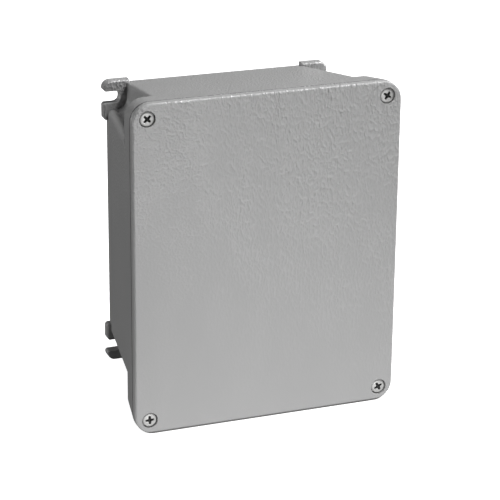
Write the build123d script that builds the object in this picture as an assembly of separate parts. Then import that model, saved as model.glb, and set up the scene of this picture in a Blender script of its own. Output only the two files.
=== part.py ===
from build123d import *
import os

# Die cast aluminium wall box with a screwed lid and four slotted fixing lugs. Millimetres.
# +X is the viewer's right, +Y points into the wall and +Z is up.
# The origin is the middle of the wall face. Depths count back from the front face of the lid.

# Overall size
box_width = 104.0
box_height = 128.0
box_depth = 60.0
corner_radius = 7.5

# Lid casting
lid_edge = 3.4
lid_front_radius = 0.8
lid_recess = 0.8
lid_recess_radius = 14.0
lid_rib_height = 2.0
lid_rib_width = 1.5
lid_rib_clearance = 0.5
lid_rib_draft = 3.0

# Gasket, its groove in the lid and the tongue on the rim
groove_land = 1.3
groove_width = 2.2
groove_depth = 1.6
groove_corner_radius = 18.0
gasket_clearance = 0.05
gasket_height = 1.3
tongue_width = 1.0

# Base casting
wall_draw = 8.6
rim_land = 6.0
rim_thickness = 11.8
joint_chamfer = 0.4
side_wall = 3.2
floor_thickness = 3.0
floor_chamfer = 1.5
cavity_end_radius = 6.0
cavity_side_radius = 3.0
cavity_notch_radius = 3.0

# Pockets behind the rim, which clear the fixing lugs
pocket_reach_x = 11.6
pocket_reach_z = 18.4
pocket_draw = 3.8
pocket_radius = 5.0
pocket_wall = 3.0
pocket_edge_radius = 1.5

# Fixing lugs
lug_thickness = 4.0
lug_stand_x = 2.1
lug_stand_z = 1.6
lug_root = 1.4
lug_foot = 3.8
lug_tip_radius = 3.0
lug_foot_radius = 1.2
lug_edge_chamfer = 0.5
lug_mouth_radius = 1.0
slot_width = 4.8
slot_reach = 4.2
slot_inset = 6.3

# Lid screws, captive in the lid
screw_inset = 5.65
screw_head_radius = 2.75
screw_head_height = 2.0
screw_head_chamfer = 0.5
screw_neck_radius = 1.15
screw_thread_radius = 1.45
screw_thread_length = 4.5
screw_setback = 0.4
screw_clearance = 0.05
head_seat_radius = 3.05
head_seat_depth = 2.1
screw_turns = {"top_left": 45.0, "top_right": 57.0, "bottom_left": 4.0, "bottom_right": 28.0}

# Cross recess in a screw head, as shares of the head
recess_length_share = 1.25
recess_width_share = 0.36
recess_depth_share = 0.62
recess_taper = 11.0

# Bosses on the floor for a mounting plate
boss_inset_x = 27.0
boss_inset_z = 17.0
boss_radius = 4.0
boss_height = 6.0
boss_hole_radius = 1.65
boss_hole_depth = 7.5
boss_taper = 2.0

# Earth terminals, one on the floor and one inside the lid
earth_inset = 20.0
earth_boss_radius = 4.8
earth_boss_height = 5.0
earth_hole_radius = 2.0
earth_hole_spare = 1.0
earth_screw_clearance = 0.05
earth_screw_head_radius = 3.5
earth_screw_head_height = 2.4
base_earth_screw_length = 8.0
lid_earth_screw_length = 6.0
cup_radius = 4.6
cup_floor = 0.8
cup_height = 2.0
cup_wall = 0.7
spring_washer_radius = 3.6
spring_washer_thickness = 0.9
spring_washer_gap = 0.6
washer_clearance = 0.1

# Worked-out depths and half sizes
half_width = box_width / 2
half_height = box_height / 2
mouth_x = half_width - rim_land
mouth_z = half_height - rim_land
rim_back = lid_edge + rim_thickness
lug_front = box_depth - lug_thickness
floor_front = box_depth - floor_thickness
floor_inset = wall_draw * (floor_front - lid_edge) / (box_depth - lid_edge)
cavity_draw = floor_inset + side_wall - rim_land
groove_floor = lid_edge - groove_depth
gasket_back = groove_floor + gasket_height
lid_panel = lid_edge - lid_recess
screw_tip = rim_back - screw_setback
thread_start = screw_tip - screw_thread_length
pocket_z = half_height - pocket_reach_z
screw_x = half_width - screw_inset
screw_z = half_height - screw_inset
lug_tip_x = half_width - wall_draw + lug_stand_x
lug_top_z = half_height - wall_draw + lug_stand_z
slot_x = lug_tip_x - slot_reach
slot_z = lug_top_z - slot_inset
boss_x = half_width - boss_inset_x
boss_z = half_height - boss_inset_z
earth_z = earth_inset - half_height

CORNERS = {
    "top_left": (-1, 1),
    "top_right": (1, 1),
    "bottom_left": (-1, -1),
    "bottom_right": (1, -1),
}


def view_plane(depth):
    """Plane parallel to the wall, looked at from the front."""
    return Plane.XZ.offset(box_depth - depth)


def slab(sketch, near, far, taper=0.0):
    """Front-view sketch carried from one depth back to a greater one."""
    return extrude(view_plane(near) * sketch, amount=near - far, taper=taper)


def rod(x, z, radius, near, far, taper=0.0):
    """Round bar or bore square to the wall."""
    return slab(Pos(x, z) * Circle(radius), near, far, taper)


def at_corners(shape):
    """Copies of a top right shape in all four corners."""
    right = shape + mirror(shape, Plane.XY)
    return right + mirror(right, Plane.YZ)


def drafted_block(half_x, half_z, near, far, draw):
    """Block whose four walls each draw in by the same amount between two depths."""
    front = near - box_depth
    back = far - box_depth
    plan = Polygon(
        (-half_x, front), (half_x, front), (half_x - draw, back), (draw - half_x, back), align=None
    )
    side = Polygon(
        (front, -half_z), (front, half_z), (back, half_z - draw), (back, draw - half_z), align=None
    )
    return extrude(plan, amount=half_z, both=True) & extrude(Plane.YZ * side, amount=half_x, both=True)


def draft_edges(solid, start, share_x, share_z):
    """The four edges running back past a depth that lie farthest out, by shares of x and of z."""
    limit = start + joint_chamfer - box_depth
    edges = [
        edge
        for edge in solid.edges()
        if edge.bounding_box().size.Y > lid_edge and edge.bounding_box().max.Y > limit
    ]
    return sorted(edges, key=lambda e: share_x * abs(e.center().X) + share_z * abs(e.center().Z))[-4:]


def pocket_x(depth):
    """Distance of a pocket's side wall from the middle plane."""
    return half_width - pocket_reach_x - pocket_draw * (depth - rim_back) / (lug_front - rim_back)


def corner_wedge(near, far, wall):
    """Top right space outside the pocket's two walls, or outside their inner faces."""
    plan = Polygon(
        (pocket_x(near) - wall, near - box_depth),
        (box_width, near - box_depth),
        (box_width, far - box_depth),
        (pocket_x(far) - wall, far - box_depth),
        align=None,
    )
    return Pos(0, 0, pocket_z - wall) * extrude(plan, amount=box_height)


def outer_body():
    """Drafted body with a rim at its front and four pockets behind the rim."""
    body = drafted_block(half_width, half_height, lid_edge, box_depth, wall_draw)
    body = fillet(draft_edges(body, lid_edge, 1, 1), corner_radius)
    body = chamfer(body.faces().sort_by(Axis.Y)[0].edges(), joint_chamfer)
    body -= at_corners(corner_wedge(rim_back, box_depth, 0.0))
    body = fillet(draft_edges(body, rim_back, 0, 1), pocket_edge_radius)
    body = fillet(draft_edges(body, rim_back, 1, 0), pocket_edge_radius)
    return fillet(draft_edges(body, rim_back, -1, -1), pocket_radius)


def cavity():
    """Inside of the body, which keeps one wall thickness behind the pockets."""
    space = drafted_block(mouth_x, mouth_z, lid_edge, floor_front, cavity_draw)
    space -= at_corners(corner_wedge(lid_edge, floor_front, pocket_wall))
    space = fillet(draft_edges(space, lid_edge, 0, 1), cavity_end_radius)
    space = fillet(draft_edges(space, lid_edge, 1, 0), cavity_side_radius)
    space = fillet(draft_edges(space, lid_edge, -1, -1), cavity_notch_radius)
    return chamfer(space.faces().sort_by(Axis.Y)[-1].edges(), floor_chamfer)


def groove_outline(distance):
    """Rounded outline at a distance outside the mouth, which passes inside the lid screws."""
    radius = groove_corner_radius + distance - groove_land
    return RectangleRounded(2 * (mouth_x + distance), 2 * (mouth_z + distance), radius)


def ring(inner, outer, near, far):
    """Closed band round the mouth between two distances outside it."""
    return slab(groove_outline(outer) - groove_outline(inner), near, far)


def lug():
    """Top right fixing lug: a plate with a slot that is open to the side."""
    root_x = pocket_x(lug_front) - lug_root
    foot_z = pocket_z - lug_foot
    plate = Pos((root_x + lug_tip_x) / 2, (foot_z + lug_top_z) / 2) * Rectangle(
        lug_tip_x - root_x, lug_top_z - foot_z
    )
    plate = fillet(plate.vertices().group_by(Axis.X)[-1].sort_by(Axis.Y)[0], lug_foot_radius)
    plate = fillet(plate.vertices().group_by(Axis.X)[-1].sort_by(Axis.Y)[-1], lug_tip_radius)
    plate = slab(plate, lug_front, box_depth)
    return chamfer(plate.faces().sort_by(Axis.Y)[0].edges(), lug_edge_chamfer)


def lug_slot():
    """Slot of the top right lug, with a rounded mouth, cut past the lug's tip."""
    neck = Pos((slot_x + lug_tip_x) / 2, slot_z) * Rectangle(lug_tip_x - slot_x, slot_width)
    outside = Pos(lug_tip_x + slot_width / 2, slot_z) * Rectangle(slot_width, 3 * slot_width)
    cut = Pos(slot_x, slot_z) * Circle(slot_width / 2) + neck + outside
    middle = (slot_x + lug_tip_x) / 2
    mouth = [v for v in cut.vertices() if v.X > middle and abs(v.Y - slot_z) < slot_width]
    return slab(fillet(mouth, lug_mouth_radius), lug_front, box_depth)


def floor_boss(x, z, radius, height, hole_radius, hole_depth):
    """Drafted boss on the floor, with its blind hole as a second solid."""
    top = floor_front - height
    boss = rod(x, z, radius, top, floor_front, taper=-boss_taper)
    return boss, rod(x, z, hole_radius, top, top + hole_depth)


def base_casting():
    """Drafted body with rim, tongue, corner pockets, lugs, cavity and bosses."""
    body = outer_body() + at_corners(lug()) - cavity()
    tongue_start = groove_land + (groove_width - tongue_width) / 2
    body += ring(tongue_start, tongue_start + tongue_width, gasket_back, lid_edge)
    plate_boss, plate_hole = floor_boss(
        boss_x, boss_z, boss_radius, boss_height, boss_hole_radius, boss_hole_depth
    )
    earth_boss, earth_hole = floor_boss(
        0.0, earth_z, earth_boss_radius, earth_boss_height, earth_hole_radius, earth_hole_depth("base")
    )
    screw_hole = rod(screw_x, screw_z, screw_thread_radius + screw_clearance, lid_edge, rim_back)
    body += at_corners(plate_boss) + earth_boss
    return body - at_corners(plate_hole + screw_hole + lug_slot()) - earth_hole


def lid_ribs():
    """Four straight ribs that locate the lid just inside the mouth of the cavity."""
    inset = lid_rib_clearance + lid_rib_width / 2
    side_length = 2 * (pocket_z - pocket_wall - cavity_side_radius)
    end_length = 2 * (pocket_x(lid_edge) - pocket_wall - cavity_end_radius)
    side = Pos(mouth_x - inset, 0) * Rectangle(lid_rib_width, side_length)
    end = Pos(0, mouth_z - inset) * Rectangle(end_length, lid_rib_width)
    side = slab(side, lid_edge, lid_edge + lid_rib_height, lid_rib_draft)
    end = slab(end, lid_edge, lid_edge + lid_rib_height, lid_rib_draft)
    return side + mirror(side, Plane.YZ) + end + mirror(end, Plane.XY)


def lid_casting():
    """Flat plate with screw seats, gasket groove, locating ribs and earth boss."""
    plate = slab(RectangleRounded(box_width, box_height, corner_radius), 0.0, lid_edge)
    plate = fillet(plate.faces().sort_by(Axis.Y)[0].edges(), lid_front_radius)
    plate = chamfer(plate.faces().sort_by(Axis.Y)[-1].edges(), joint_chamfer)
    recess_inset = lid_rib_clearance + lid_rib_width
    recess = RectangleRounded(
        2 * (mouth_x - recess_inset), 2 * (mouth_z - recess_inset), lid_recess_radius
    )
    plate -= slab(recess, lid_panel, lid_edge)
    plate += lid_ribs()
    plate -= ring(groove_land, groove_land + groove_width, groove_floor, lid_edge)
    hole = rod(screw_x, screw_z, head_seat_radius, 0.0, head_seat_depth)
    hole += rod(screw_x, screw_z, screw_neck_radius + screw_clearance, 0.0, lid_edge)
    plate -= at_corners(hole)
    boss_end = lid_panel + earth_boss_height
    plate += rod(0.0, earth_z, earth_boss_radius, lid_panel, boss_end, taper=boss_taper)
    return plate - rod(0.0, earth_z, earth_hole_radius, boss_end - earth_hole_depth("lid"), boss_end)


def lid_gasket():
    """Rubber cord in the groove of the lid."""
    inner = groove_land + gasket_clearance
    outer = groove_land + groove_width - gasket_clearance
    return ring(inner, outer, groove_floor, gasket_back)


def cross_recess(head_radius, head_height):
    """Tapered cross cut down from the top of a screw head that lies at the local origin."""
    length = recess_length_share * head_radius
    width = recess_width_share * head_radius
    cross = Rectangle(length, width) + Rectangle(width, length)
    return extrude(cross, amount=-recess_depth_share * head_height, taper=recess_taper)


def pan_head(head_radius, head_height, turn):
    """Bevelled screw head that stands on the local origin plane."""
    head = extrude(Circle(head_radius), amount=head_height)
    head = chamfer(head.faces().sort_by(Axis.Z)[-1].edges(), screw_head_chamfer)
    return head - Pos(0, 0, head_height) * Rot(0, 0, turn) * cross_recess(head_radius, head_height)


def lid_screw(corner):
    """Captive screw: pan head, thin neck and a short threaded end."""
    sign_x, sign_z = CORNERS[corner]
    head = pan_head(screw_head_radius, screw_head_height, screw_turns[corner])
    neck = extrude(Circle(screw_neck_radius), amount=head_seat_depth - screw_tip)
    thread = extrude(Circle(screw_thread_radius), amount=-screw_thread_length)
    thread = chamfer(thread.faces().sort_by(Axis.Z)[0].edges(), screw_thread_radius - screw_neck_radius)
    screw = head + neck + Pos(0, 0, head_seat_depth - thread_start) * thread
    seat = Plane(
        (sign_x * screw_x, head_seat_depth - box_depth, sign_z * screw_z), x_dir=(1, 0, 0), z_dir=(0, -1, 0)
    )
    return seat * screw


def earth_stack():
    """Height of the washers under the head of an earth screw."""
    return cup_floor + spring_washer_thickness


def earth_hole_depth(side):
    """Depth of the blind hole that takes an earth screw."""
    length = base_earth_screw_length if side == "base" else lid_earth_screw_length
    return length - earth_stack() + earth_hole_spare


def earth_seat(side):
    """Plane on the end of an earth boss, facing away from the boss."""
    if side == "base":
        depth = floor_front - earth_boss_height
        return Plane((0, depth - box_depth, earth_z), x_dir=(1, 0, 0), z_dir=(0, -1, 0))
    depth = lid_panel + earth_boss_height
    return Plane((0, depth - box_depth, earth_z), x_dir=(1, 0, 0), z_dir=(0, 1, 0))


def earth_screw(side):
    """Pan head screw that clamps an earth wire."""
    length = base_earth_screw_length if side == "base" else lid_earth_screw_length
    shank_radius = earth_hole_radius - earth_screw_clearance
    screw = pan_head(earth_screw_head_radius, earth_screw_head_height, 0.0)
    screw += extrude(Circle(shank_radius), amount=-length)
    return earth_seat(side) * Pos(0, 0, earth_stack()) * screw


def spring_washer(side):
    """Split ring under the head of an earth screw."""
    band = Circle(spring_washer_radius) - Circle(earth_hole_radius + washer_clearance)
    gap = Pos(spring_washer_radius / 2, 0) * Rectangle(spring_washer_radius, spring_washer_gap)
    return earth_seat(side) * Pos(0, 0, cup_floor) * extrude(band - gap, amount=spring_washer_thickness)


def cup_washer(side):
    """Dished washer that holds an earth wire under the screw."""
    cup = extrude(Circle(cup_radius), amount=cup_height)
    cup -= Pos(0, 0, cup_floor) * extrude(Circle(cup_radius - cup_wall), amount=cup_height)
    cup -= extrude(Circle(earth_hole_radius + washer_clearance), amount=cup_height)
    return earth_seat(side) * cup


nodes = {
    "base_casting": base_casting(),
    "lid_casting": lid_casting(),
    "lid_gasket": lid_gasket(),
}
for corner in CORNERS:
    nodes[f"lid_screw_{corner}"] = lid_screw(corner)
for side in ("base", "lid"):
    nodes[f"{side}_earth_screw"] = earth_screw(side)
    nodes[f"{side}_earth_spring_washer"] = spring_washer(side)
    nodes[f"{side}_earth_cup_washer"] = cup_washer(side)

os.makedirs("parts", exist_ok=True)
for name, shape in nodes.items():
    export_step(shape, f"parts/{name}.step")
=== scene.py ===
"""Die cast aluminium wall box under grey hammered paint, on a pale studio floor. Metres."""
import math
import bmesh
import bpy
import numpy as np
from mathutils import Matrix, Vector


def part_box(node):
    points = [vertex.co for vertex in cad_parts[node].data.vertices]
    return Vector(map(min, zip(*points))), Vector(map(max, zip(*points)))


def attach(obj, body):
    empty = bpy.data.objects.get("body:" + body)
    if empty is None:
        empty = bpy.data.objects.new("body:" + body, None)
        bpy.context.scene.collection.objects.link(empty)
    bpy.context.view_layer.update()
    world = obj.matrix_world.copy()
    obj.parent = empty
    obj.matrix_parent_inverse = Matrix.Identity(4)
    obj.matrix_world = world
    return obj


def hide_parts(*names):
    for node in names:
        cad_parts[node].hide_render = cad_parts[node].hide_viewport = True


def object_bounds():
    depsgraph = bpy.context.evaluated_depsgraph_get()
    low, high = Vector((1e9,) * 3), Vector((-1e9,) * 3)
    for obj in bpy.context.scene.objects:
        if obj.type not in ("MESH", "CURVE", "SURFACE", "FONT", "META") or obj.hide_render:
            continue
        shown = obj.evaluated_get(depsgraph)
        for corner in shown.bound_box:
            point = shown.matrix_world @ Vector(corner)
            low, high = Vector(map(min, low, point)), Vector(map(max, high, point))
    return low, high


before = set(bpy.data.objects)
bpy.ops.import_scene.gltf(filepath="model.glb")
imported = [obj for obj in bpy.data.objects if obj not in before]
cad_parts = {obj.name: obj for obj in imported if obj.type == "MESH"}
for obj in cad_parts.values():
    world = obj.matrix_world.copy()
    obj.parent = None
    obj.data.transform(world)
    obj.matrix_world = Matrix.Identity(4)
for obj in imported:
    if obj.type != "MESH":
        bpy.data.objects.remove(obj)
cad_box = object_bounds()

MM = 0.001
CORNERS = ("top_left", "top_right", "bottom_left", "bottom_right")
FRONT = cad_box[0][1]
LOWEST = cad_box[0][2]
HALF_WIDTH = cad_box[1][0]
HALF_HEIGHT = cad_box[1][2]

# Camera, fitted to the photograph's view without a shift; lens and sensor in millimetres
CAMERA_AT = Vector((-263.23, -735.04, 272.77)) * MM
CAMERA_RIGHT = Vector((0.9361, -0.3516, 0.0087))
CAMERA_FORWARD = Vector((0.3324, 0.8765, -0.3483))
CAMERA_LENS = 150.81
CAMERA_SENSOR = 36.0
CAMERA_CLIP = (0.05, 50.0)

# Studio lamps: direction from the box, distance, size across and up, and watts
LAMPS = {
    "low key light": (Vector((0.10, -0.98, 0.02)), 1.3, (0.55, 0.55), 3.38),
    "near front light": (Vector((-0.16, -1.0, -0.02)), 0.25, (0.04, 0.06), 0.091),
    "back light": (Vector((1.0, 0.70, 0.0)), 1.3, (0.5, 0.1), 7.0),
    "upper right light": (Vector((0.80, -0.22, 1.0)), 1.0, (0.35, 0.35), 9.2),
    "edge strip light": (Vector((0.33, -0.30, 0.90)), 0.9, (0.20, 0.03), 3.0),
    "left fill light": (Vector((-1.0, 0.45, 0.0)), 1.2, (0.9, 0.9), 9.36),
}
AMBIENT = 0.04

# Light that the floor in front of the box throws back up at it
BOUNCE_SIZE = (0.22, 0.26)
BOUNCE_PAST_LEFT = 0.03
BOUNCE_WATTS = 0.158

# Studio floor
FLOOR_HALF = 6.0
FLOOR_TONE = 0.80
FLOOR_TONE_DROP = 0.01
FLOOR_CLOUD = 0.4
FLOOR_ROUGHNESS = 0.9
FLOOR_SPECULAR = 0.2
FLOOR_GLOW = 0.92

# Sizes that part the castings' painted faces from their bare ones. Depths run back from the
# lid's face, and insets run in from the painted outline and the pocket walls.
BOX_DEPTH = -FRONT
LID_EDGE = 3.4 * MM
CORNER_RADIUS = 7.5 * MM
WALL_DRAW = 8.6 * MM
RIM_BACK = 15.2 * MM
LUG_FRONT = 56.0 * MM
POCKET_X = HALF_WIDTH - 11.6 * MM
POCKET_Z = HALF_HEIGHT - 18.4 * MM
POCKET_DRAW = 3.8 * MM
FLOOR_BARE_TO = 58.5 * MM
BASE_BARE_FROM = 3.6 * MM
BASE_BARE_INSET = 1.6 * MM
BASE_POCKET_INSET = 1.5 * MM
LID_BARE_FROM = 2.35 * MM
LID_BARE_INSET = 0.6 * MM
# The lid has no pockets, so their walls are moved a metre out of the way
LID_POCKET_INSET = -1.0
BARE_EDGE = 0.1 * MM

# Painted shade along the joint where lid and base meet: how far in from the outline it starts and is
# full, and how far to each side of the joint it is full and ends
JOINT_INSETS = (0.8 * MM, 0.5 * MM)
JOINT_HALVES = (0.30 * MM, 0.55 * MM)
# Share by which the painted shade in the joint darkens the paint and takes off its coat
JOINT_PAINTED_SHADE = 0.72

# Bowls of the hammered paint. A bend is the size of a noise and how far it moves a bowl. Noise
# sizes are counted in bowls, also that of the patches below.
BOWL_WIDTH = 0.90 * MM
BOWL_HEIGHT = 1.7 * MM
ROUND_BOWL = 1.0 * MM
ROUND_BOWL_DEPTH = 0.75
BOWL_BENDS = ((5.0, 2.0), (1.2, 1.0))
ALL_ROUND_AT = -38.0 * MM
ALL_TALL_AT = -8.0 * MM
PEEL_SIZE = 0.5
PEEL_DEPTH = 0.22

# Depth of the grain: it grows along a line that leans to the right, and comes in patches
GRAIN_LEAN = 0.45
GRAIN_SPAN = (-50.0 * MM, 60.0 * MM)
GRAIN_DEPTHS = (0.12, 1.65)
PATCH_SIZE = 12.0
PATCH_SPAN = (0.35, 0.58)
PATCH_LEAST = 0.60

# Paint and bare cast metal
PAINT_TONES = (0.43, 0.44)
POOL_BOWL = 0.5
POOL_TONE = 0.012
PAINT_ROUGHNESS = 0.46
PAINT_RELIEF = 0.21
COAT_WEIGHT = 0.4
COAT_ROUGHNESS = 0.14
CAST_TONES = (0.42, 0.58)
CAST_ROUGHNESS = 0.52
CAST_METALLIC = 0.85
CAST_RELIEF = 0.06
CAST_GRAIN = 0.5 * MM
CAST_GRAIN_DETAIL = 4.0
FLOW_SIZE = 9.0 * MM
FLOW_BEND_SIZE = 40.0 * MM
FLOW_BEND_REACH = 30.0 * MM
FLOW_SHARE = 0.75

# Metal of the screws and washers
FASTENER_GRAIN = 0.22 * MM
FASTENER_TONES = (0.9, 1.0)
FASTENER_SMOOTHER = 0.05
FASTENER_ROUGHER = 0.08
FASTENER_BUMP = 0.3
FASTENER_RELIEF = 0.03 * MM
# Painted shade in a driver recess: the span of recess depth over which it comes in, and its tone
CROSS_PAINTED_SHADE_SPAN = (0.05, 0.45)
CROSS_PAINTED_SHADE = 0.03

# Gasket rubber
BLOOM_SIZE = 6.0 * MM
RUBBER_GRAIN = 0.3 * MM
RUBBER_TONES = (0.014, 0.032)
RUBBER_ROUGHNESS = (0.6, 0.75)
RUBBER_BUMP = 0.3
RUBBER_RELIEF = 0.05 * MM

# Screws: head radius, head height, neck radius, thread radius, thread pitch, thread length
LID_SCREW = np.array((2.75, 2.0, 1.15, 1.45, 0.5, 4.5)) * MM
BASE_EARTH_SCREW = np.array((3.5, 2.4, 1.65, 1.95, 0.7, 7.6)) * MM
LID_EARTH_SCREW = np.array((3.5, 2.4, 1.65, 1.95, 0.7, 5.6)) * MM
SCREW_TURNS = {"top_left": 45.0, "top_right": 57.0, "bottom_left": 4.0, "bottom_right": 28.0}
EARTH_SCREW_TURN = 30.0
HEAD_ROUND_SHARE = 0.25
HEAD_CROWN_SHARE = 0.09
HEAD_EDGE = 0.08 * MM
THREAD_RUN_OUT = 0.1 * MM
POLE_RADIUS = 0.02 * MM

# Cross recess: reach, width and slope in shares of the head's radius, depth in shares of its
# height, and how much the bars narrow and the floor rises towards their ends
RECESS_REACH_SHARE = 0.64
RECESS_WIDTH_SHARE = 0.50
RECESS_DEPTH_SHARE = 0.68
RECESS_SLOPE_SHARE = 0.10
RECESS_TAPER = 0.35
RECESS_FLOOR_RISE = 0.5

# Washers and gasket
CUP_LIP = 0.25 * MM
CUP_FLOOR = 0.8 * MM
CUP_WALL = 0.7 * MM
CUP_CHAMFER = 0.15 * MM
CUP_FILLET = 0.3 * MM
CUP_FILLET_MIDDLE = 0.1 * MM
WASHER_HOLE = 2.1 * MM
SPRING_GAP = 0.6 * MM
SPRING_ROUND = 0.15 * MM
GASKET_WIDTH = 2.1 * MM
GASKET_CORNER = 19.1 * MM
GASKET_ROUND = 0.4 * MM
GASKET_TRACK = 0.07 * MM
GASKET_TRACK_SHARE = 0.55

# Where most of a noise's values lie
NOISE_SPAN = (0.3, 0.7)

# Angle from which an edge stays sharp, and how finely the round pieces are divided
SHARP_ANGLE = math.radians(38.0)
AROUND = 96
FULL_TURN = np.linspace(0.0, 2.0 * math.pi, AROUND, endpoint=False)[None, :]
THREAD_ROWS = 14
CROWN_ROWS = 50
RIM_STEPS = 9
LIP_STEPS = 9
SPRING_STEPS = 90
SPRING_CORNER_STEPS = 4
GASKET_TURN_STEPS = 25
GASKET_CORNER_STEPS = 6
GASKET_TRACK_STEPS = 14


def closed_piece(name, points, faces):
    """Mesh object at the origin from an array of points and a list of faces, turned outwards."""
    mesh = bpy.data.meshes.new(name)
    mesh.from_pydata(points.tolist(), [], faces)
    shell = bmesh.new()
    shell.from_mesh(mesh)
    bmesh.ops.recalc_face_normals(shell, faces=shell.faces)
    shell.to_mesh(mesh)
    shell.free()
    mesh.shade_smooth()
    mesh.set_sharp_from_angle(angle=SHARP_ANGLE)
    piece = bpy.data.objects.new(name, mesh)
    bpy.context.scene.collection.objects.link(piece)
    return piece


def grid_faces(rows, columns, wrap_rows, wrap_columns):
    """Quads of a row-major grid of points; a wrapped direction joins its last line to its first."""
    row = np.arange(rows if wrap_rows else rows - 1)[:, None]
    column = np.arange(columns if wrap_columns else columns - 1)[None, :]
    row_on = (row + 1) % rows
    column_on = (column + 1) % columns
    ring = (
        row * columns + column,
        row * columns + column_on,
        row_on * columns + column_on,
        row_on * columns + column,
    )
    return np.stack(np.broadcast_arrays(*ring), axis=-1).reshape(-1, 4).tolist()


def turned(centre, seat, sense, radius, behind, angle):
    """Grid of points about an axis square to the wall.

    A point lies at centre + radius (cos angle, sin angle) across and up the wall, and at
    seat + sense times behind along the axis.
    """
    across = centre[0] + radius * np.cos(angle)
    along = seat + sense * behind
    up = centre[1] + radius * np.sin(angle)
    return np.stack(np.broadcast_arrays(across, along, up), axis=-1)


def smooth_step(value, start, end):
    """Rises from 0 at start to 1 at end along 3t^2 - 2t^3."""
    t = np.clip((value - start) / (end - start), 0.0, 1.0)
    return t * t * (3.0 - 2.0 * t)


def cross_recess(radius, angle, head_radius, turn):
    """How deep a cross recess is at polar points of a head, as a share from 0 to 1.

    The cross is the union of two bars whose width narrows outwards, w (1 - taper |u| / reach).
    The distance inside the bars is carried through a smooth step, so the walls slope, and the
    floor rises towards the ends of the bars.
    """
    reach = RECESS_REACH_SHARE * head_radius
    width = RECESS_WIDTH_SHARE * head_radius
    u = radius * np.cos(angle - math.radians(turn))
    v = radius * np.sin(angle - math.radians(turn))
    inside = np.full(u.shape, -1.0)
    for along, beside in ((u, v), (v, u)):
        half = 0.5 * width * (1.0 - RECESS_TAPER * np.clip(np.abs(along) / reach, 0.0, 1.0))
        inside = np.maximum(inside, np.minimum(reach - np.abs(along), half - np.abs(beside)))
    floor = 1.0 - RECESS_FLOOR_RISE * np.clip(radius / reach, 0.0, 1.0)
    return floor * smooth_step(inside, 0.0, RECESS_SLOPE_SHARE * head_radius)


def screw_piece(name, sizes, centre, seat, tip, turn):
    """Cross-head screw as one closed surface, from the tip of its thread to the crown of its head.

    A ring at distance t behind the head's seat has the radius r(t). The thread adds a triangle
    wave that follows t / pitch - angle / 2 pi. The top of the head is a height field over a
    polar grid: a crown that falls with r squared, a quarter circle at the rim, and the recess.
    """
    head_radius, head_height, neck_radius, thread_radius, pitch, thread_length = sizes
    sense = math.copysign(1.0, tip - seat)
    length = abs(tip - seat)
    neck_end = length - thread_length

    rows = int(THREAD_ROWS * thread_length / pitch)
    back = np.linspace(length, neck_end, rows)[:, None]
    wave = np.abs((back / pitch - sense * FULL_TURN / (2.0 * math.pi)) % 1.0 * 2.0 - 1.0)
    fade = smooth_step(length - back, 0.0, pitch) * smooth_step(back, neck_end, neck_end + pitch)
    thread = neck_radius + (thread_radius - neck_radius) * (1.0 - wave) * fade

    crown = HEAD_CROWN_SHARE * head_height
    rounding = HEAD_ROUND_SHARE * head_radius
    bend = np.linspace(0.0, 0.5 * math.pi, RIM_STEPS)
    rim_radius = head_radius - rounding * (1.0 - np.cos(bend))
    rim_back = crown + rounding * (1.0 - np.sin(bend)) - head_height
    neck_and_edge = [
        (neck_radius, neck_end - THREAD_RUN_OUT),
        (neck_radius, 0.0),
        (head_radius - HEAD_EDGE, 0.0),
        (head_radius, -HEAD_EDGE),
    ]
    profile = np.vstack([neck_and_edge, np.stack([rim_radius, rim_back], axis=-1)])
    side_radius = np.repeat(profile[:, :1], AROUND, axis=1)
    side_back = np.repeat(profile[:, 1:], AROUND, axis=1)

    top_edge = profile[-1, 0]
    top_radius = np.linspace(top_edge, POLE_RADIUS, CROWN_ROWS)[1:, None] + 0.0 * FULL_TURN
    share = cross_recess(top_radius, FULL_TURN, head_radius, turn)
    depth = RECESS_DEPTH_SHARE * head_height
    top_back = crown * (top_radius / top_edge) ** 2 - head_height + depth * share

    radius = np.vstack([thread, side_radius, top_radius])
    behind = np.vstack([back + 0.0 * FULL_TURN, side_back, top_back])
    recess = np.vstack([0.0 * thread, 0.0 * side_radius, share])
    grid = turned(centre, seat, sense, radius, behind, FULL_TURN)
    recess_floor = seat + sense * (depth - head_height)
    poles = np.array([(centre[0], tip, centre[1]), (centre[0], recess_floor, centre[1])])
    points = np.vstack([grid.reshape(-1, 3), poles])

    count = radius.shape[0]
    faces = grid_faces(count, AROUND, False, True)
    near = np.arange(AROUND)
    far = (near + 1) % AROUND
    for pole, first in ((count * AROUND, 0), (count * AROUND + 1, (count - 1) * AROUND)):
        faces += np.stack([np.full(AROUND, pole), first + far, first + near], axis=-1).tolist()
    piece = closed_piece(name, points, faces)
    mark = piece.data.attributes.new("recess", "FLOAT", "POINT")
    mark.data.foreach_set("value", np.append(recess.ravel(), (0.0, 1.0)).astype(np.float32))
    return piece


def rounded_outline(corners, rounding, steps):
    """Closed section whose corners are quarter circles; corners run anticlockwise."""
    outline = []
    count = len(corners)
    for place in range(count):
        here = np.array(corners[place])
        before = np.array(corners[place - 1]) - here
        after = np.array(corners[(place + 1) % count]) - here
        start = before / np.linalg.norm(before)
        end = after / np.linalg.norm(after)
        centre = here + rounding * (start + end)
        bend = np.linspace(0.0, 0.5 * math.pi, steps)[:, None]
        outline.append(centre - rounding * (end * np.cos(bend) + start * np.sin(bend)))
    return np.vstack(outline)


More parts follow.
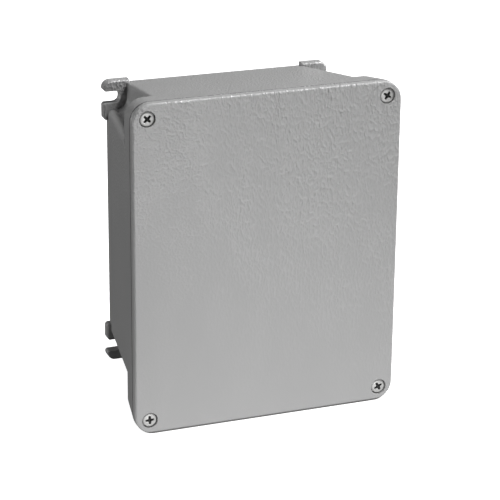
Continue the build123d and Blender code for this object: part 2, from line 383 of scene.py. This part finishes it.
def cup_washer(name, centre, seat, sense, radius, height):
    """Dished washer: the closed section of its wall, floor and rounded lip, turned about its axis.

    The lip is half an ellipse over the wall, CUP_WALL wide and CUP_LIP high.
    """
    bend = np.linspace(0.0, math.pi, LIP_STEPS)
    lip_radius = radius - 0.5 * CUP_WALL + 0.5 * CUP_WALL * np.cos(bend)
    lip_rise = height - CUP_LIP + CUP_LIP * np.sin(bend)
    outer = [
        (WASHER_HOLE, 0.0),
        (radius - CUP_CHAMFER, 0.0),
        (radius, CUP_CHAMFER),
    ]
    wall = radius - CUP_WALL
    inner = [
        (wall, CUP_FLOOR + CUP_FILLET),
        (wall - CUP_FILLET_MIDDLE, CUP_FLOOR + CUP_FILLET_MIDDLE),
        (wall - CUP_FILLET, CUP_FLOOR),
        (WASHER_HOLE, CUP_FLOOR),
    ]
    section = np.vstack([outer, np.stack([lip_radius, lip_rise], axis=-1), inner])
    grid = turned(centre, seat, sense, section[:, :1], section[:, 1:], FULL_TURN)
    return closed_piece(name, grid.reshape(-1, 3), grid_faces(len(section), AROUND, True, True))


def spring_washer(name, centre, seat, sense, radius, height):
    """Split ring: a rounded square section carried round its axis, open at the gap and capped."""
    corners = [(WASHER_HOLE, 0.0), (radius, 0.0), (radius, height), (WASHER_HOLE, height)]
    section = rounded_outline(corners, SPRING_ROUND, SPRING_CORNER_STEPS)
    half_gap = 0.5 * SPRING_GAP / radius
    angle = np.linspace(half_gap, 2.0 * math.pi - half_gap, SPRING_STEPS)[:, None]
    grid = turned(centre, seat, sense, section[None, :, 0], section[None, :, 1], angle)
    rows, columns, _ = grid.shape
    faces = grid_faces(rows, columns, False, True)
    faces.append(list(range(columns)))
    faces.append(list(range((rows - 1) * columns, rows * columns))[::-1])
    return closed_piece(name, grid.reshape(-1, 3), faces)


def gasket_piece(name, node):
    """Rubber cord: a rounded section carried round a rounded rectangle.

    The path is four quarter circles joined by the closing straights. A shallow track, a cosine
    dip across the middle of the back, is what the tongue of the rim has pressed in.
    """
    low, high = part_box(node)
    half = 0.5 * GASKET_WIDTH
    height = high[1] - low[1]
    corners = [(-half, 0.0), (half, 0.0), (half, height), (-half, height)]
    section = rounded_outline(corners, GASKET_ROUND, GASKET_CORNER_STEPS)
    across = np.linspace(half - GASKET_ROUND, GASKET_ROUND - half, GASKET_TRACK_STEPS)[1:-1]
    beside = np.clip(across / (GASKET_TRACK_SHARE * half), -1.0, 1.0)
    dip = GASKET_TRACK * 0.5 * (1.0 + np.cos(math.pi * beside))
    after_third_corner = 3 * GASKET_CORNER_STEPS
    track = np.stack([across, height - dip], axis=-1)
    section = np.insert(section, after_third_corner, track, axis=0)

    reach = (0.5 * (high[0] - low[0]) - half, 0.5 * (high[2] - low[2]) - half)
    bend = np.linspace(0.0, 0.5 * math.pi, GASKET_TURN_STEPS)
    centres = []
    turns = []
    for place, (sign_x, sign_z) in enumerate(((1, 1), (-1, 1), (-1, -1), (1, -1))):
        centre = (sign_x * (reach[0] - GASKET_CORNER), sign_z * (reach[1] - GASKET_CORNER))
        centres.append(np.repeat([centre], GASKET_TURN_STEPS, axis=0))
        turns.append(bend + 0.5 * math.pi * place)
    centres = np.vstack(centres)[:, None, :]
    turn = np.concatenate(turns)[:, None]
    out = GASKET_CORNER + section[None, :, 0]
    grid = turned((centres[..., 0], centres[..., 1]), low[1], 1.0, out, section[None, :, 1], turn)
    rows, columns, _ = grid.shape
    return closed_piece(name, grid.reshape(-1, 3), grid_faces(rows, columns, True, True))


def node_group(name, inputs, outputs):
    """Empty shader node group with named sockets.

    An input is (name, kind, value), and an output is the name of a number.
    """
    group = bpy.data.node_groups.new(name, "ShaderNodeTree")
    for label, kind, value in inputs:
        socket = group.interface.new_socket(label, in_out="INPUT", socket_type=kind)
        if value is not None:
            socket.default_value = value
    for label in outputs:
        group.interface.new_socket(label, in_out="OUTPUT", socket_type="NodeSocketFloat")
    return group, group.nodes.new("NodeGroupInput"), group.nodes.new("NodeGroupOutput")


class Wiring:
    """Shorthand for adding and joining nodes in one node tree."""

    def __init__(self, tree):
        self.tree = tree

    def join(self, source, node, socket):
        """Link from an output, or a plain value, to a node's input."""
        if isinstance(source, bpy.types.NodeSocket):
            self.tree.links.new(source, node.inputs[socket])
        else:
            node.inputs[socket].default_value = source

    def add(self, kind, links=None, **settings):
        """New node; links maps a socket to another node's output or to a value."""
        node = self.tree.nodes.new(kind)
        for key, value in settings.items():
            setattr(node, key, value)
        for socket, source in (links or {}).items():
            self.join(source, node, socket)
        return node

    def maths(self, operation, first, second=0.0):
        """Maths node on two sockets or numbers; gives its output."""
        return self.add("ShaderNodeMath", {0: first, 1: second}, operation=operation).outputs[0]

    def vectors(self, operation, first, second):
        """Vector maths node on two sockets or values; SCALE takes a number as the second."""
        links = {0: first, "Scale" if operation == "SCALE" else 1: second}
        return self.add("ShaderNodeVectorMath", links, operation=operation).outputs[0]

    def least(self, first, *others):
        """Smallest of several sockets."""
        for other in others:
            first = self.maths("MINIMUM", first, other)
        return first

    def ramp(self, value, low, high, start=0.0, end=1.0, bend="SMOOTHSTEP"):
        """Value carried from low..high to start..end and held at both ends, with soft corners."""
        links = {"Value": value, "From Min": low, "From Max": high, "To Min": start, "To Max": end}
        return self.add("ShaderNodeMapRange", links, interpolation_type=bend).outputs["Result"]

    def mix(self, share, first, second):
        """Number that goes from first to second in a straight line as share goes from 0 to 1."""
        return self.ramp(share, 0.0, 1.0, first, second, "LINEAR")

    def spread(self, noise, low, high):
        """Noise, from where most of its values lie, carried to low..high."""
        return self.ramp(noise, *NOISE_SPAN, low, high)

    def grey(self, value):
        """Colour of one tone."""
        return self.add("ShaderNodeCombineColor", {0: value, 1: value, 2: value}).outputs[0]

    def noise(self, place, size, detail=2.0, output="Fac"):
        """Noise whose features are about size across."""
        links = {"Vector": place, "Scale": 1.0 / size, "Detail": detail}
        return self.add("ShaderNodeTexNoise", links).outputs[output]

    def bump(self, height, strength, distance):
        """Normal of a surface raised by height times distance."""
        links = {"Strength": strength, "Distance": distance, "Height": height}
        return self.add("ShaderNodeBump", links).outputs["Normal"]


def bowls(w, place, wide, tall):
    """Shallow bowls that meet in ridges, and the coordinates that they are scattered on.

    The coordinates count bowls: they are divided by the bowl's width and height, then bent by a
    slow and a quick noise. A bowl is the square of the distance to its nearest point.
    """
    across = w.maths("DIVIDE", 1.0, wide)
    up = w.maths("DIVIDE", 1.0, tall)
    scale = w.add("ShaderNodeCombineXYZ", {"X": across, "Y": across, "Z": up}).outputs[0]
    cells = w.vectors("MULTIPLY", place, scale)
    moved = cells
    for size, reach in BOWL_BENDS:
        bend = w.noise(cells, size, detail=1.0, output="Color")
        centred = w.vectors("SUBTRACT", bend, (0.5, 0.5, 0.5))
        moved = w.vectors("ADD", moved, w.vectors("SCALE", centred, reach))
    scattered = w.add("ShaderNodeTexVoronoi", {"Vector": moved, "Scale": 1.0}, feature="F1")
    near = scattered.outputs["Distance"]
    return w.maths("MULTIPLY", near, near), cells


def hammered_group():
    """Grain of hammered paint: shallow bowls that meet in fine ridges, with an orange peel on them.

    The bowls are round and shallower at the left of the face, and taller than wide elsewhere.
    The grain is deepest in the upper right, comes in patches and fades below.
    """
    group, given, gives = node_group(
        "hammered paint grain",
        [
            ("Position", "NodeSocketVector", None),
            ("Bowl Width", "NodeSocketFloat", BOWL_WIDTH),
            ("Bowl Height", "NodeSocketFloat", BOWL_HEIGHT),
            ("Round Bowl", "NodeSocketFloat", ROUND_BOWL),
            ("Peel", "NodeSocketFloat", PEEL_DEPTH),
        ],
        ("Height", "Bowl", "Patch"),
    )
    w = Wiring(group)
    place = given.outputs["Position"]
    round_size = given.outputs["Round Bowl"]
    tall, cells = bowls(w, place, given.outputs["Bowl Width"], given.outputs["Bowl Height"])
    round_ones, _ = bowls(w, place, round_size, round_size)
    round_ones = w.maths("MULTIPLY", round_ones, ROUND_BOWL_DEPTH)
    parts = w.add("ShaderNodeSeparateXYZ", {0: place})
    round_share = w.ramp(parts.outputs["X"], ALL_ROUND_AT, ALL_TALL_AT, 1.0, 0.0)
    bowl = w.mix(round_share, tall, round_ones)

    patch = w.noise(cells, PATCH_SIZE)
    lean = w.maths("ADD", parts.outputs["Z"], w.maths("MULTIPLY", parts.outputs["X"], GRAIN_LEAN))
    deep = w.ramp(lean, *GRAIN_SPAN, *GRAIN_DEPTHS)
    deep = w.maths("MULTIPLY", deep, w.ramp(patch, *PATCH_SPAN, PATCH_LEAST, 1.0))
    peel = w.maths("MULTIPLY", w.noise(cells, PEEL_SIZE), given.outputs["Peel"])
    w.join(w.maths("MULTIPLY", w.maths("ADD", bowl, peel), deep), gives, "Height")
    w.join(w.maths("MULTIPLY", bowl, deep), gives, "Bowl")
    w.join(patch, gives, "Patch")
    return group


def bare_group():
    """Masks of a casting: Bare is 1 on its unpainted inside; the other marks painted shade where lid and
    base meet.

    A point is inside where its distances in from the drafted outline, the pockets, the front and
    the back are all positive. The outline draws in from the lid's back to the wall. The joint is
    a band about the lid's back edge, close to the rounded rectangle of the outline.
    """
    group, given, gives = node_group(
        "bare inside mask",
        [
            ("Position", "NodeSocketVector", None),
            ("From Depth", "NodeSocketFloat", BASE_BARE_FROM),
            ("Inset", "NodeSocketFloat", BASE_BARE_INSET),
            ("Pocket Inset", "NodeSocketFloat", BASE_POCKET_INSET),
        ],
        ("Bare", "Joint Shade"),
    )
    w = Wiring(group)
    parts = w.add("ShaderNodeSeparateXYZ", {0: given.outputs["Position"]})
    out_x = w.maths("ABSOLUTE", parts.outputs["X"])
    out_z = w.maths("ABSOLUTE", parts.outputs["Z"])
    depth = w.maths("SUBTRACT", parts.outputs["Y"], FRONT)

    draw = w.ramp(depth, LID_EDGE, BOX_DEPTH, 0.0, WALL_DRAW, "LINEAR")
    inset = w.maths("ADD", draw, given.outputs["Inset"])
    side = w.maths("SUBTRACT", w.maths("SUBTRACT", HALF_WIDTH, inset), out_x)
    end = w.maths("SUBTRACT", w.maths("SUBTRACT", HALF_HEIGHT, inset), out_z)
    pocket_draw = w.ramp(depth, RIM_BACK, LUG_FRONT, 0.0, POCKET_DRAW, "LINEAR")
    pocket_inset = given.outputs["Pocket Inset"]
    pocket_x = w.maths("SUBTRACT", w.maths("SUBTRACT", POCKET_X, pocket_draw), pocket_inset)
    pocket_z = w.maths("SUBTRACT", POCKET_Z, pocket_inset)
    beside_x = w.maths("SUBTRACT", pocket_x, out_x)
    beside_z = w.maths("SUBTRACT", pocket_z, out_z)
    clear = w.maths("MAXIMUM", beside_x, beside_z)
    started = w.maths("SUBTRACT", depth, given.outputs["From Depth"])
    stopped = w.maths("SUBTRACT", FLOOR_BARE_TO, depth)
    inside = w.least(side, end, clear, started, stopped)
    w.join(w.ramp(inside, -BARE_EDGE, BARE_EDGE), gives, "Bare")

    past_x = w.maths("MAXIMUM", w.maths("SUBTRACT", out_x, HALF_WIDTH - CORNER_RADIUS), 0.0)
    past_z = w.maths("MAXIMUM", w.maths("SUBTRACT", out_z, HALF_HEIGHT - CORNER_RADIUS), 0.0)
    squares = w.maths("ADD", w.maths("POWER", past_x, 2.0), w.maths("POWER", past_z, 2.0))
    past = w.maths("SQRT", squares)
    outer = w.ramp(past, CORNER_RADIUS - JOINT_INSETS[0], CORNER_RADIUS - JOINT_INSETS[1])
    off_joint = w.maths("ABSOLUTE", w.maths("SUBTRACT", depth, LID_EDGE))
    w.join(w.maths("MULTIPLY", outer, w.ramp(off_joint, *JOINT_HALVES, 1.0, 0.0)), gives, "Joint Shade")
    return group


def cast_group():
    """Skin of bare die cast metal: a fine sandy grain over broad, pale flow marks."""
    group, given, gives = node_group(
        "bare cast skin",
        [("Position", "NodeSocketVector", None), ("Grain", "NodeSocketFloat", CAST_GRAIN)],
        ("Height", "Tone"),
    )
    w = Wiring(group)
    place = given.outputs["Position"]
    finer = w.maths("DIVIDE", 1.0, given.outputs["Grain"])
    sand = {"Vector": place, "Scale": finer, "Detail": CAST_GRAIN_DETAIL}
    grain = w.add("ShaderNodeTexNoise", sand).outputs["Fac"]
    bend = w.vectors("SCALE", w.noise(place, FLOW_BEND_SIZE, output="Color"), FLOW_BEND_REACH)
    flow = w.noise(w.vectors("ADD", place, bend), FLOW_SIZE, detail=4.0)
    flow_part = w.maths("MULTIPLY", flow, FLOW_SHARE)
    grain_part = w.maths("MULTIPLY", grain, 1.0 - FLOW_SHARE)
    w.join(grain, gives, "Height")
    w.join(w.maths("ADD", flow_part, grain_part), gives, "Tone")
    return group


def new_material(name):
    """Material with an empty tree; gives its wiring, its shader and its object coordinates."""
    material = bpy.data.materials.new(name)
    material.use_nodes = True
    tree = material.node_tree
    tree.nodes.clear()
    w = Wiring(tree)
    shader = w.add("ShaderNodeBsdfPrincipled")
    out = w.add("ShaderNodeOutputMaterial")
    tree.links.new(shader.outputs["BSDF"], out.inputs["Surface"])
    place = w.add("ShaderNodeTexCoord").outputs["Object"]
    return material, w, shader, place


def painted_casting(name, groups, from_depth, inset, pocket_inset):
    """Grey hammered paint outside, with a gloss that follows its grain and painted shade along the
    joint, and bare aluminium inside.
    """
    material, w, shader, place = new_material(name)
    marks = w.add("ShaderNodeGroup", node_tree=groups["hammered"])
    bare = w.add("ShaderNodeGroup", node_tree=groups["bare"])
    skin = w.add("ShaderNodeGroup", node_tree=groups["cast"])
    for node in (marks, bare, skin):
        w.join(place, node, "Position")
    w.join(from_depth, bare, "From Depth")
    w.join(inset, bare, "Inset")
    w.join(pocket_inset, bare, "Pocket Inset")
    share = bare.outputs["Bare"]
    # Painted shade in the joint between lid and base: darker paint and less coat there
    joint = w.maths("SUBTRACT", 1.0, w.maths("MULTIPLY", bare.outputs["Joint Shade"], JOINT_PAINTED_SHADE))

    pooled = w.ramp(marks.outputs["Bowl"], 0.0, POOL_BOWL, -POOL_TONE, POOL_TONE)
    paint_tone = w.maths("ADD", w.spread(marks.outputs["Patch"], *PAINT_TONES), pooled)
    paint_tone = w.maths("MULTIPLY", paint_tone, joint)
    cast_tone = w.spread(skin.outputs["Tone"], *CAST_TONES)
    w.join(w.grey(w.mix(share, paint_tone, cast_tone)), shader, "Base Color")
    w.join(w.mix(share, PAINT_ROUGHNESS, CAST_ROUGHNESS), shader, "Roughness")
    w.join(w.mix(share, 0.0, CAST_METALLIC), shader, "Metallic")
    w.join(w.maths("MULTIPLY", w.mix(share, COAT_WEIGHT, 0.0), joint), shader, "Coat Weight")
    shader.inputs["Coat Roughness"].default_value = COAT_ROUGHNESS

    paint_height = w.maths("MULTIPLY", marks.outputs["Height"], PAINT_RELIEF)
    cast_height = w.maths("MULTIPLY", skin.outputs["Height"], CAST_RELIEF)
    normal = w.bump(w.mix(share, paint_height, cast_height), strength=1.0, distance=MM)
    w.join(normal, shader, "Normal")
    w.join(normal, shader, "Coat Normal")
    return material


def fastener_metal(name, colour, roughness, metallic, skin):
    """Metal of screws and washers with a fine grain, and painted shade, less metallic, where a driver
    recess is deep.
    """
    material, w, shader, place = new_material(name)
    grain = w.add("ShaderNodeGroup", node_tree=skin)
    w.join(place, grain, "Position")
    w.join(FASTENER_GRAIN, grain, "Grain")
    tone = grain.outputs["Tone"]
    recess = w.add("ShaderNodeAttribute", attribute_name="recess").outputs["Fac"]
    # Painted shade in the cross recess, darker and less metallic where the recess is deep
    painted_recess_shade = w.ramp(recess, *CROSS_PAINTED_SHADE_SPAN, 1.0, CROSS_PAINTED_SHADE)
    shade = w.maths("MULTIPLY", w.spread(tone, *FASTENER_TONES), painted_recess_shade)
    rough = w.spread(tone, roughness - FASTENER_SMOOTHER, roughness + FASTENER_ROUGHER)
    w.join(w.vectors("SCALE", colour, shade), shader, "Base Color")
    w.join(rough, shader, "Roughness")
    w.join(w.maths("MULTIPLY", metallic, painted_recess_shade), shader, "Metallic")
    w.join(w.bump(grain.outputs["Height"], FASTENER_BUMP, FASTENER_RELIEF), shader, "Normal")
    return material


def gasket_rubber():
    """Black rubber with a faint bloom."""
    material, w, shader, place = new_material("black gasket rubber")
    bloom = w.noise(place, BLOOM_SIZE, detail=3.0)
    grain = w.noise(place, RUBBER_GRAIN)
    w.join(w.grey(w.spread(bloom, *RUBBER_TONES)), shader, "Base Color")
    w.join(w.spread(bloom, *RUBBER_ROUGHNESS), shader, "Roughness")
    w.join(w.bump(grain, RUBBER_BUMP, RUBBER_RELIEF), shader, "Normal")
    return material


def floor_material():
    """Pale studio floor, close to white, that keeps a soft contact shadow."""
    material, w, shader, place = new_material("pale studio floor")
    tone = w.spread(w.noise(place, FLOOR_CLOUD), FLOOR_TONE - FLOOR_TONE_DROP, FLOOR_TONE)
    w.join(w.grey(tone), shader, "Base Color")
    shader.inputs["Roughness"].default_value = FLOOR_ROUGHNESS
    shader.inputs["Specular IOR Level"].default_value = FLOOR_SPECULAR
    shader.inputs["Emission Color"].default_value = (1.0, 1.0, 1.0, 1.0)
    shader.inputs["Emission Strength"].default_value = FLOOR_GLOW
    return material


def give_material(node, material):
    """Puts one material on a CAD node's object."""
    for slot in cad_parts[node].material_slots:
        slot.link = "OBJECT"
        slot.material = material


def dress(piece, material, body, node):
    """Gives a piece its material and body, and lets it stand for a CAD node."""
    piece.data.materials.append(material)
    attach(piece, body)
    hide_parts(node)


def node_centre(node):
    """Middle of a node across the wall and up it."""
    low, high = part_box(node)
    return 0.5 * (low[0] + high[0]), 0.5 * (low[2] + high[2])


def add_lid_screws(zinc):
    """Four cross-head screws that stay captive in the lid."""
    for corner in CORNERS:
        node = f"lid_screw_{corner}"
        name = f"cross_head_screw_{corner}"
        low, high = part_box(node)
        seat = low[1] + LID_SCREW[1]
        turn = SCREW_TURNS[corner]
        piece = screw_piece(name, LID_SCREW, node_centre(node), seat, high[1], turn)
        dress(piece, zinc, f"screw_{corner}", node)


def add_earth_terminals(brass, zinc):
    """Earth screw, split washer and cup washer on the floor and inside the lid."""
    washers = (
        (spring_washer, "split_washer", "earth_spring_washer", zinc, "lid_screw_steel"),
        (cup_washer, "cup_washer", "earth_cup_washer", brass, "earth_brass"),
    )
    for side, sizes, sense in (("base", BASE_EARTH_SCREW, 1.0), ("lid", LID_EARTH_SCREW, -1.0)):
        head, tip = (0, 1) if sense > 0.0 else (1, 0)
        screw_name = f"{side}_terminal_screw"
        screw_node = f"{side}_earth_screw"
        centre = node_centre(screw_node)
        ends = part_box(screw_node)
        seat = ends[head][1] + sense * sizes[1]
        screw = screw_piece(screw_name, sizes, centre, seat, ends[tip][1], EARTH_SCREW_TURN)
        dress(screw, brass, side, screw_node)
        for make, name, part, material, slot in washers:
            node = f"{side}_{part}"
            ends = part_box(node)
            radius = 0.5 * (ends[1][2] - ends[0][2])
            height = ends[1][1] - ends[0][1]
            washer = make(f"{side}_{name}", centre, ends[tip][1], -sense, radius, height)
            dress(washer, material, side, node)


def add_floor():
    """Flat floor at the box's lowest point. The camera sees it, but it lights nothing."""
    corners = [(x * FLOOR_HALF, y * FLOOR_HALF, LOWEST) for x, y in ((-1, -1), (1, -1), (1, 1), (-1, 1))]
    mesh = bpy.data.meshes.new("floor")
    mesh.from_pydata(corners, [], [(0, 1, 2, 3)])
    floor = bpy.data.objects.new("floor", mesh)
    bpy.context.scene.collection.objects.link(floor)
    floor.data.materials.append(floor_material())
    floor.visible_diffuse = False
    floor.visible_glossy = False


def add_lamp(name, place, facing, size, watts):
    """Rectangular area lamp at a place, shining along facing."""
    lamp = bpy.data.lights.new(name, "AREA")
    lamp.energy = watts
    lamp.shape = "RECTANGLE"
    lamp.size, lamp.size_y = size
    holder = bpy.data.objects.new(name, lamp)
    holder.location = place
    holder.rotation_euler = (-facing).to_track_quat("Z", "Y").to_euler()
    holder.visible_camera = False
    bpy.context.scene.collection.objects.link(holder)


def add_lamps():
    """Studio lamps that face the box's middle, and the light that the floor throws back."""
    middle = Vector((0.0, 0.5 * FRONT, 0.0))
    for name, (direction, distance, size, watts) in LAMPS.items():
        toward = direction.normalized()
        add_lamp(name, middle + toward * distance, -toward, size, watts)
    across, out = BOUNCE_SIZE
    from_left = -HALF_WIDTH - BOUNCE_PAST_LEFT
    place = Vector((from_left + 0.5 * across, FRONT - 0.5 * out, LOWEST + MM))
    add_lamp("floor bounce", place, Vector((0.0, 0.0, 1.0)), BOUNCE_SIZE, BOUNCE_WATTS)


def add_camera():
    """Camera at the photograph's viewing angle."""
    data = bpy.data.cameras.new("camera")
    data.lens = CAMERA_LENS
    data.sensor_width = CAMERA_SENSOR
    data.clip_start, data.clip_end = CAMERA_CLIP
    camera = bpy.data.objects.new("camera", data)
    back = -CAMERA_FORWARD.normalized()
    up = back.cross(CAMERA_RIGHT).normalized()
    turn = Matrix((up.cross(back), up, back)).transposed()
    camera.matrix_world = Matrix.Translation(CAMERA_AT) @ turn.to_4x4()
    bpy.context.scene.collection.objects.link(camera)
    bpy.context.scene.camera = camera


def add_world():
    """Even pale light from all round."""
    world = bpy.data.worlds.new("studio")
    world.use_nodes = True
    background = world.node_tree.nodes["Background"]
    background.inputs["Color"].default_value = (1.0, 1.0, 1.0, 1.0)
    background.inputs["Strength"].default_value = AMBIENT
    bpy.context.scene.world = world


bpy.context.scene.view_settings.view_transform = "Standard"
add_camera()
add_world()
add_floor()
add_lamps()

groups = {"hammered": hammered_group(), "bare": bare_group(), "cast": cast_group()}
base_finish = painted_casting(
    "painted base casting", groups, BASE_BARE_FROM, BASE_BARE_INSET, BASE_POCKET_INSET
)
lid_finish = painted_casting(
    "painted lid casting", groups, LID_BARE_FROM, LID_BARE_INSET, LID_POCKET_INSET
)
zinc = fastener_metal(
    "zinc plated steel", colour=(0.66, 0.66, 0.65), roughness=0.50, metallic=0.55, skin=groups["cast"]
)
brass = fastener_metal(
    "bright brass", colour=(0.80, 0.62, 0.30), roughness=0.30, metallic=1.0, skin=groups["cast"]
)
give_material("base_casting", base_finish)
give_material("lid_casting", lid_finish)
dress(gasket_piece("rubber_gasket", "lid_gasket"), gasket_rubber(), "lid", "lid_gasket")
add_lid_screws(zinc)
add_earth_terminals(brass, zinc)
